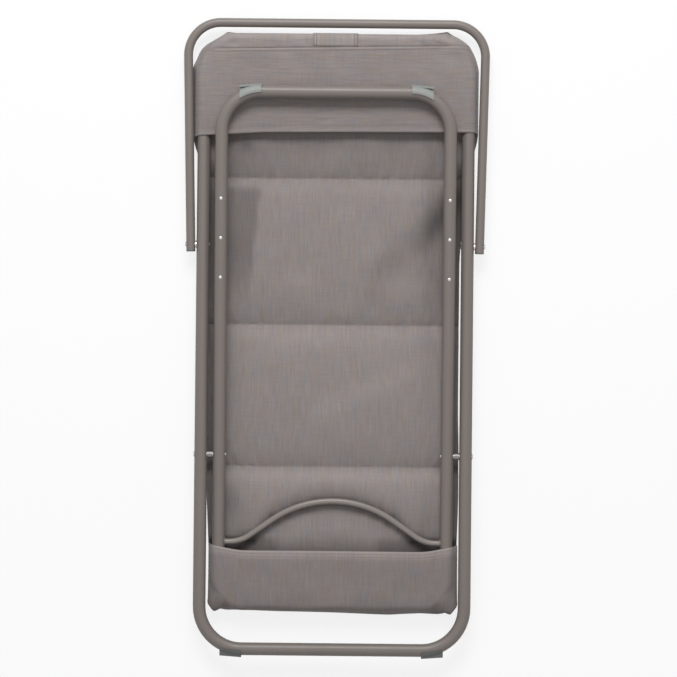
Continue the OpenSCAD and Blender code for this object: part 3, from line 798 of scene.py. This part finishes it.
# Long folds of the sling: rise, X and Y of both ends, half-width or half-widths (mm)
SLING_FOLDS = (
    (1.8, (-143, 550, -168, 290), (12, 8)),
    (-4.4, (330, 600, 60, 320), (26,)),
    (2.6, (200, 540, 50, 390), (22,)),
    (1.8, (250, 450, 110, 280), (24,)),
    (-1.6, (130, 460, 70, 270), (16,)),
    (-1.2, (-100, 520, -30, 300), (18,)),
    (-2.2, (-195, 260, -200, -20), (16,)),
    (-2.2, (195, 260, 200, -20), (16,)),
    (-2.0, (205, 10, 190, -200), (16,)),
    (-2.0, (-205, 10, -190, -200), (16,)),
)

# Waves of the sling below the hood's hem: middle, half-width and rise (mm)
BELOW_HOOD = ((-180, 35, 2.6), (-100, 30, -1.5), (-30, 50, -2.4), (50, 30, 2.0), (130, 40, -1.8),
              (190, 30, 1.5))


def sling_creases(x, y):
    """Rise of the folds that the folded cloth shows on its back, in millimetres."""
    rise = sum(high * streak(x, y, ends, *widths) for high, ends, widths in SLING_FOLDS) - 4.2 * dent(x, y)
    rise += sum(high * ridge(x, at, wide) for at, wide, high in BELOW_HOOD) * ridge(y, 610, 35)
    rise += 5.0 * ridge(y, 615, 35) * before(np.abs(x), 225, 30)
    rise += 6.5 * ridge(y, -105, 70) * before(np.abs(x), 205, 70)
    return rise - 4.0 * seat_corner(x, y)


def seat_corner(x, y):
    """1 in the two slack corners of the seat panel, between the legs, the brace's ends and the pocket."""
    return ridge(np.abs(x), 200, 40) * before(y, -85, 70)


def brace_line():
    """The brace's middle line in plan, as rows of X and Y, from its node's points."""
    points = points_of(frame["nodes"]["seat_brace"].data)
    marks = np.linspace(points[:, 0].min(), points[:, 0].max(), 45)
    step = marks[1] - marks[0]
    near = [(m, points[np.abs(points[:, 0] - m) < step, 1]) for m in marks]
    return np.array([(m, (ys.min() + ys.max()) / 2) for m, ys in near if len(ys)]).T


# Painted light and shade along the sling's length, by the distance from the pivot: painted shadow below the
# hood's hem and above the pocket's hem
PAINTED_LIGHT_ALONG_AT = mm(-190, -160, -58, -38, -25, -20, 20, 230, 256, 266, 320, 500, 530, 548, 575, 598, 615, 630, 645)
PAINTED_LIGHT_ALONG = (0.8, 0.97, 1.03, 1.05, 0.95, 1.03, 1.01, 1.03, 1, 1.02,
        0.99, 1, 0.97, 0.94, 0.96, 0.93, 0.87, 0.88, 1)

# Spots of painted light and shade on the sling, as spots takes them
PAINTED_LIGHT_SPOTS = (
    (80, 407, 30, 22, 0.1), (165, 418, 20, 34, -0.12), (-60, 350, 48, 20, 0.09),
    (107, 340, 42, 18, 0.06), (-30, 222, 110, 24, 0.07), (40, 624, 30, 14, -0.14),
    (-165, 565, 40, 30, -0.06), (0, -46, 190, 12, 0.07), (-186, 622, 12, 10, -0.15),
    (185, 622, 12, 12, -0.12), (-205, -88, 14, 36, -0.27), (-176, 621, 16, 16, -0.3),
)


def sling_painted_light(x, y):
    """Painted light and shade on the cloth: highlights painted below the seams and on swells, and painted
    shade in its folds and dent, under the hood's hem, round the brace, above the pocket's hem and at its
    edges between the tubes.
    """
    from_middle = np.abs(x)
    # Painted light and shade by panel and place: painted shade in the dent, in the fold beside the right leg,
    # next to the legs and under the hood's hem, and a painted highlight along one ridge
    tone = 1.01 + 0.035 * seam_shares(y) - 0.32 * dent(x, y) + spots(x, y, PAINTED_LIGHT_SPOTS)
    tone -= streak(x, y, (330, 600, 60, 320), 28) * (0.07 + 0.42 * past(x, 140, 70))
    tone -= 0.22 * ridge(x, 222, 36) * past(y, 250, 80) * before(y, 560, 30)
    tone -= 0.1 * ridge(x, 189, 14) * past(y, 190, 40) * (1 - ridge(y, 335, 20))
    tone -= 0.12 * ridge(x, -226, 20) + 0.06 * ridge(x, -203, 14) * past(y, -20, 30)
    tone -= 0.11 * ridge(y, 615, 18) * before(x, -10, 50)
    tone += 0.11 * streak(x, y, (195, 186, -75, 70), 24)
    # Painted shade above the pocket's hem
    tone -= 0.34 * past(np.abs(x + 10 * MM), 85, 30) * before(y, -166, 8)
    tone -= 0.08 * seat_corner(x, y)
    # Painted shade round the brace: a dark contact line under it, painted shade on its head side, a painted
    # cast shadow on its pocket side, and lighter beyond that
    above_brace = y + PIVOT_Y - np.interp(x, *brace_line())
    tone -= 0.24 * ridge(above_brace, 10, 20) * (above_brace > 0) * before(from_middle, 170, 50)
    tone -= 0.32 * ridge(above_brace, -12, 6) * before(from_middle, 200, 20)
    tone += 0.11 * ridge(above_brace, -52, 20) - 0.5 * ridge(above_brace, 0, 8.8)
    tone *= np.interp(y, PAINTED_LIGHT_ALONG_AT, PAINTED_LIGHT_ALONG)
    tone -= 0.1 * streak(x, y, (150, 420, 50, 300), 30)
    # Painted highlight on the side of each seam towards the front, painted shade on its side towards the head
    for seam in SEAMS:
        tone += 0.06 * ridge(y - seam, -16, 16) - 0.07 * ridge(y - seam, 4, 6)
    # Painted shade where the sling's edges lie between the tubes, and at its corners under the hood
    tone *= 1 - 0.45 * past(from_middle, 229, 10) * before(y, 600, 30)
    tone *= 1 - 0.5 * past(from_middle, 264, 10) * past(y, 600, 20)
    # Painted shadows below the hood's hem
    return tone + spots(x, y, ((-30, 628, 70, 12, -0.12), (120, 620, 50, 14, -0.1)))


# The highest that the sling may stand between the tubes and the brace, by the distance from the pivot
CEILING_AT = mm(-250, -200, -150, -20, 20, 570, 600, 640, 700, 760)
CEILING = mm(14.8, 23.5, 25.5, 26, 21, 21, 27, 27, 20, 14.6)
LOWEST = 0.2 * MM


def creased(co, is_top):
    """Z of the blown-up sling with its folds, its swells and the gathers along its seams."""
    x, y = co[:, 0], co[:, 1] - PIVOT_Y
    from_seam = np.min([np.abs(y - s) for s in SEAMS], axis=0)
    gather = ridge(from_seam, 0, 15) * (1 - ridge(from_seam, 0, 2.5))
    pucker = gather * 0.75 * (np.sin(x * 330 + 3 * np.sin(x * 57)) + 0.7 * np.sin(x * 193 + 1))
    swell = 0.8 * np.sin(x * 27 + 1.5 * np.sin(y * 13)) * np.sin(y * 21 + 0.8)
    free = 1 - past(np.abs(x), 228, 20)
    rise = np.where(is_top, (sling_creases(x, y) + swell) * free + pucker, -0.5 * pucker)
    return np.clip(co[:, 2] + rise * MM, LOWEST, np.interp(y, CEILING_AT, CEILING))


sling, held, top_count = build_sling()
co = points_of(sling.data)
co = kept_wide(puff(sling, held, 4.0, 20, 5 * MM), co)
co[:, 2] = creased(co, np.arange(len(co)) < top_count)
sling.data.vertices.foreach_set("co", co.astype(np.float32).ravel())
sling.data.update()
shaded(sling, sling_painted_light(co[:, 0], co[:, 1] - PIVOT_Y))
rounded(sling)
dressed(sling, SLING_CLOTH)
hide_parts("sling_head_panel", "sling_upper_panel", "sling_lower_panel", "sling_bend",
            "sling_seat_panel")


# Stitches
RAY_FROM = 200 * MM
THREAD_LIFT = 0.15 * MM


def stitches(name, lines, over, long, gap, body=None, thread_r=0.4 * MM, material=THREAD):
    """Short stitches along lines of plan points, laid on the cloth below them."""
    tree = BVHTree.FromObject(over, bpy.context.evaluated_depsgraph_get())
    round_thread = [(math.cos(k * math.pi / 3), math.sin(k * math.pi / 3)) for k in range(6)]
    points, faces = [], []
    for line in lines:
        line = np.asarray(line, float)
        at = distances(line)
        for start in np.arange(gap, at[-1] - long, long + gap):
            ends = []
            for d in (start, start + long / 2, start + long):
                x, y = (np.interp(d, at, line[:, k]) for k in (0, 1))
                hit = tree.ray_cast(Vector((x, y, RAY_FROM)), Vector((0, 0, -1)))[0]
                if hit is None:
                    break
                ends.append(np.array(hit))
            if len(ends) < 3:
                continue
            ends[0][2] -= thread_r * 0.5
            ends[1][2] += thread_r * 0.6 + THREAD_LIFT
            ends[2][2] -= thread_r * 0.5
            way = ends[2] - ends[0]
            way /= np.linalg.norm(way)
            side = np.cross(way, (0, 0, 1))
            side /= np.linalg.norm(side)
            up = np.cross(side, way)
            base = len(points)
            points += [e + thread_r * (side * c + up * s) for e in ends for c, s in round_thread]
            faces += [(ring + k, ring + (k + 1) % 6, ring + (k + 1) % 6 + 6, ring + k + 6)
                      for ring in (base, base + 6) for k in range(6)]
            faces += [range(base + 5, base - 1, -1), range(base + 12, base + 18)]
    return dressed(new_object(name, points, faces, points), material, body)


def across_line(y_at, half):
    """Points across the chair, where y_at gives Y by X."""
    return [(x, y_at(x)) for x in np.linspace(-half, half, 120)]


def back_y(y):
    return PIVOT_Y + y * math.cos(BACK_LEAN)


# Band over the head bar
BAND_MIDDLE, BAND_HALF = mm(-3, 45.5)
BAND_ABOVE_HOOD = 1.6 * MM
BAND_INWARD = mm(2.5, 5, 7.5, 9.5, 11.5, 13)
BAND_HEM_RISE, BAND_EDGE_DROP = mm(0.35, 0.6)
TUCKED = mm(0.8, 3)  # how deep the band's last two rows go into the sling


def build_band():
    xs = np.linspace(BAND_MIDDLE - BAND_HALF, BAND_MIDDLE + BAND_HALF, 23)
    on_bar = slice(60, -60)
    out = float(np.interp(0, hood_path[0][on_bar, 0], hood_outs[on_bar])) + BAND_ABOVE_HOOD
    low = EDGE_HEIGHT - (PIVOT_Z + HEAD_REACH * math.sin(BACK_LEAN))
    section = wrap_section(WRAP_R + CLOTH_THICK, out, low, 6, 9, BAND_INWARD)
    grid = np.array([[(x, HEAD_REACH + o, z) for o, z in section] for x in xs])
    edge = np.abs(grid[..., 0] - BAND_MIDDLE) / BAND_HALF
    grid[..., 2] += BAND_HEM_RISE * smooth((edge - 0.8) / 0.1) - BAND_EDGE_DROP * smooth((edge - 0.96) / 0.04)
    grid[:, -2:, 2] -= TUCKED
    flat = np.stack([grid[..., 0], grid[..., 1], 0 * grid[..., 0]], -1)
    obj = new_object("head_band_cloth", leaned(grid, BACK_LEAN), grid_faces(*grid.shape[:2], flip=True), flat)
    thicken(obj, 1.1 * MM)
    return dressed(obj, BAND_CLOTH, "back")


band = build_band()
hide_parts("head_band")

# Seams: the band's four rows run along the chair, all others across it
band_edges = [BAND_MIDDLE + side * (BAND_HALF - inset * MM) for side in (-1, 1) for inset in (2.2, 7.5)]
band_ys = np.linspace(HEAD_REACH - 12.5 * MM, HEAD_REACH + 15 * MM, 40)
band_thread = stitches("band_stitches", [[(x, back_y(y)) for y in band_ys] for x in band_edges], band,
                       2.6 * MM, 1.3 * MM, "back", 0.55 * MM, DARK_THREAD)
hood_thread = stitches("hood_stitches", [across_line(lambda x: back_y(hood_seam(x)), 262 * MM),
                                         across_line(lambda x: back_y(hood_hem(x) + 13 * MM), 258 * MM)],
                       hood, 3.0 * MM, 1.4 * MM, "back")
pocket_line = across_line(lambda x: PIVOT_Y - (pocket_hem(x) + 12 * MM), 232 * MM)
pocket_thread = stitches("pocket_stitches", [pocket_line], pocket, 3.0 * MM, 1.4 * MM, "seat")
sling_thread = stitches("sling_stitches", [across_line(lambda x: PIVOT_Y + s, 245 * MM) for s in SEAMS],
                        sling, 3.2 * MM, 1.5 * MM)

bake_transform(sling)
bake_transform(sling_thread)


# Feet
FOOT_LEN, FOOT_WALL = mm(43, 2.3)
SOLE_OUT, SOLE_HALF = mm(16.1, 9)
SOLE_TILT = 0.17  # of the angle that the foot covers in the bend
SOLE_ROUND = 0.5 * MM
PLATE = 4.2 * MM
PLATE_PAST = mm(1, 0.6)
WEB_HALF, WEB_DROP = mm(2.6, 2)
LIP_Y = -0.2 * MM
INNER_R, OUTER_R = TUBE_R + 0.1 * MM, TUBE_R + FOOT_WALL


def clip_foot(name, half_w, reach, bend_r, toward, side, lean, wrap, notched, material, body):
    """A foot clipped on the outside of an end bar's bend, with a straight sole.

    The sole of a notched foot is a plate that stands off the tube where the bend leaves it. The other kind is
    solid and ends in a straight lip along the middle of the bar.
    """
    start = half_w - bend_r
    tilt = math.asin(FOOT_LEN / (bend_r + 16.7 * MM)) * SOLE_TILT
    limit = math.radians(wrap)
    points, faces = [], []

    def axis(x):
        """Y of the tube's middle line from the bar's, and its slant."""
        d = max(0.0, x - start)
        return math.sqrt(bend_r ** 2 - d * d) - bend_r, math.asin(d / bend_r)

    def sole(x):
        return SOLE_OUT - math.tan(tilt) * (x - start)

    def on_tube(x, p, r):
        y0, slant = axis(x)
        return (x, y0 + r * math.cos(p) / math.cos(slant), r * math.sin(p))

    def add_grid(grid, flip=False):
        base = len(points)
        for row in grid:
            points.extend(row)
        faces.extend(grid_faces(len(grid), len(grid[0]), base, flip))

    def shell(xs, places, inner, outer):
        """A closed piece between two surfaces, given by x and the place round the tube or across the sole."""
        a = [[inner(x, p) for p in places(x)] for x in xs]
        b = [[outer(x, p) for p in places(x)] for x in xs]
        add_grid(a, flip=True)
        add_grid(b)
        add_grid([a[0], b[0]], flip=True)
        add_grid([a[-1], b[-1]])
        add_grid([[r[0] for r in a], [r[0] for r in b]])
        add_grid([[r[-1] for r in a], [r[-1] for r in b]], flip=True)

    def bore(x, p):
        return on_tube(x, p, INNER_R)

    def clip(x, p):
        return on_tube(x, p, OUTER_R)

    def slab(x, z, below):
        return (x, sole(x) - below - SOLE_ROUND * (abs(z) > 0.93 * SOLE_HALF), z)

    def lip(x):
        """Angles round the tube at which the sole's flat and the whole foot end."""
        y0, slant = axis(x)
        end = min(limit, math.acos(min(0.97, max(0.05, (LIP_Y - y0) * math.cos(slant) / OUTER_R))))
        return min(math.asin(SOLE_HALF / OUTER_R), end * 0.8), end

    def lip_angles(x):
        flat, end = lip(x)
        flank = np.linspace(flat + 0.02, end, 8)
        return np.concatenate([-flank[::-1], np.linspace(-flat, flat, 9), flank])

    def outside(x, p):
        flat = lip(x)[0]
        at = clip(x, p)
        if abs(p) <= flat + 1e-9:
            return (x, max(sole(x) - SOLE_ROUND * (abs(p) > flat * 0.97), at[1]), at[2])
        return (x, max(at[1], LIP_Y), at[2])

    xs = np.linspace(start, start + FOOT_LEN, 17)
    if notched:
        shell(xs, lambda x: np.linspace(-limit, limit, 25), bore, clip)
        plate_zs = np.array([-1, -0.95, -0.6, 0, 0.6, 0.95, 1]) * SOLE_HALF
        shell(np.linspace(start - PLATE_PAST[0], start + FOOT_LEN + PLATE_PAST[1], 9), lambda x: plate_zs,
              lambda x, z: slab(x, z, PLATE), lambda x, z: slab(x, z, 0))
        web_zs = np.array([-1, 0, 1]) * WEB_HALF
        shell(xs[:-1], lambda x: web_zs, lambda x, z: (x, clip(x, 0)[1] - 1 * MM, z - WEB_DROP),
              lambda x, z: (x, sole(x) - PLATE + 0.5 * MM, z - WEB_DROP))
    else:
        shell(xs, lip_angles, bore, outside)
    p = np.array(points)
    p[:, 0] *= side
    p[:, 1] = toward * (reach + p[:, 1])
    if side * toward < 0:
        faces = [f[::-1] for f in faces]
    obj = new_object(name, leaned(p, lean), faces)
    bevel = obj.modifiers.new("edges", "BEVEL")
    bevel.width = 0.7 * MM
    bevel.segments = 2
    bevel.limit_method = "ANGLE"
    bevel.angle_limit = math.radians(38)
    return dressed(obj, material, body)


for side, word in ((-1, "left"), (1, "right")):
    rear = clip_foot(f"rear_clip_{word}", SEAT_X, FOOT_REACH, FOOT_BEND, 1, side, SEAT_LEAN, 98, True,
                     PALE_PLASTIC, "seat")
    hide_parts(f"rear_foot_{word}")
    base = clip_foot(f"base_clip_{word}", BACK_X, BASE_REACH, BASE_BEND, -1, side, BACK_LEAN, 84, False,
                     DARK_PLASTIC, "back")
    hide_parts(f"base_foot_{word}")


# Weld beads where the brace meets the seat legs
BRACE_REACH, BRACE_R = mm(175, 6)


def weld_bead(name, side):
    """A wavy ring of weld metal where the brace's end runs into the round of the leg."""
    turns, section = 40, 8
    points, faces = [], []
    for k in range(turns):
        a = 2 * math.pi * k / turns
        y, z = math.cos(a), math.sin(a)
        ring = BRACE_R + 0.6 * MM + 0.25 * MM * math.sin(7 * a + 1)
        x = SEAT_X - math.sqrt(TUBE_R ** 2 - (ring * z) ** 2) - 0.5 * MM
        fat = 1.5 * MM + 0.35 * MM * math.sin(11 * a) + 0.2 * MM * math.sin(5 * a + 2)
        for m in range(section):
            b = 2 * math.pi * m / section
            out = ring + fat * math.cos(b)
            points.append((side * (x + fat * 0.9 * math.sin(b)), y * out - BRACE_REACH, z * out))
            here, there = k * section, (k + 1) % turns * section
            faces.append([here + m, there + m, there + (m + 1) % section, here + (m + 1) % section])
    if side > 0:
        faces = [f[::-1] for f in faces]
    return dressed(new_object(name, leaned(points, SEAT_LEAN), faces), TAUPE, "seat")


weld_bead("brace_weld_left", -1)
weld_bead("brace_weld_right", 1)


# Camera, floor and light
PHOTO_ROLL = math.radians(0.57)
CAMERA_HEIGHT = 4.5
HALF_FRAME = 0.677
MIDDLE_HEIGHT = 38 * MM
SENSOR = 36
camera_data = bpy.data.cameras.new("photo_camera")
camera_data.sensor_width = SENSOR
camera_data.lens = SENSOR / 2 * (CAMERA_HEIGHT - MIDDLE_HEIGHT) / HALF_FRAME
camera = bpy.data.objects.new("photo_camera", camera_data)
camera.location = (0.0085, -0.0008, CAMERA_HEIGHT)
camera.rotation_euler = (0, 0, PHOTO_ROLL)
scene.collection.objects.link(camera)
scene.camera = camera

bpy.ops.mesh.primitive_plane_add(size=14, location=(0, 0, -0.0005))
floor = bpy.context.object
floor.name = "studio_floor"
floor_look = Look("floor_look", roughness=0.9, specular=0.0)
floor_look.tinted((250, 250, 250), (floor_look.noise(object_coordinates(floor_look), 2), 0.01))
clear = floor_look.add("ShaderNodeBsdfTransparent")
seen_directly = floor_look.add("ShaderNodeLightPath").outputs["Is Camera Ray"]
veil = floor_look.add("ShaderNodeMixShader", {0: floor_look.math("MULTIPLY", seen_directly, 0.8),
                                              1: floor_look.shader.outputs[0], 2: clear.outputs[0]})
floor_look.link(veil.outputs[0], floor_look.tree.nodes["Material Output"].inputs[0])
floor.data.materials.append(floor_look.material)


def area_light(name, place, size, power):
    data = bpy.data.lights.new(name, "AREA")
    data.shape = "RECTANGLE"
    data.size, data.size_y = size
    data.energy = power
    lamp = bpy.data.objects.new(name, data)
    lamp.location = place
    lamp.rotation_mode = "QUATERNION"
    lamp.rotation_quaternion = (-Vector(place)).to_track_quat("-Z", "Y")
    scene.collection.objects.link(lamp)


area_light("key", (-0.2, 3.0, 2.9), (2.2, 1.4), 118)
area_light("fill", (0.2, -0.6, 4.0), (3.0, 3.0), 10)

# White where the camera sees it, also by reflection or through glass, and a soft light on all else
world = bpy.data.worlds.new("studio")
scene.world = world
sky = Nodes(world)
sky.tree.nodes.clear()
ray = sky.add("ShaderNodeLightPath").outputs
seen = sky.math("MAXIMUM", ray["Is Camera Ray"], ray["Is Glossy Ray"])
seen = sky.math("MAXIMUM", seen, ray["Is Transmission Ray"])
soft, white = (sky.add("ShaderNodeBackground", {"Color": (1, 1, 1, 1), "Strength": strength}).outputs[0]
               for strength in (0.42, 1.0))
mix = sky.add("ShaderNodeMixShader", {0: seen, 1: soft, 2: white})
sky.add("ShaderNodeOutputWorld", {0: mix.outputs[0]})

scene.view_settings.view_transform = "Standard"
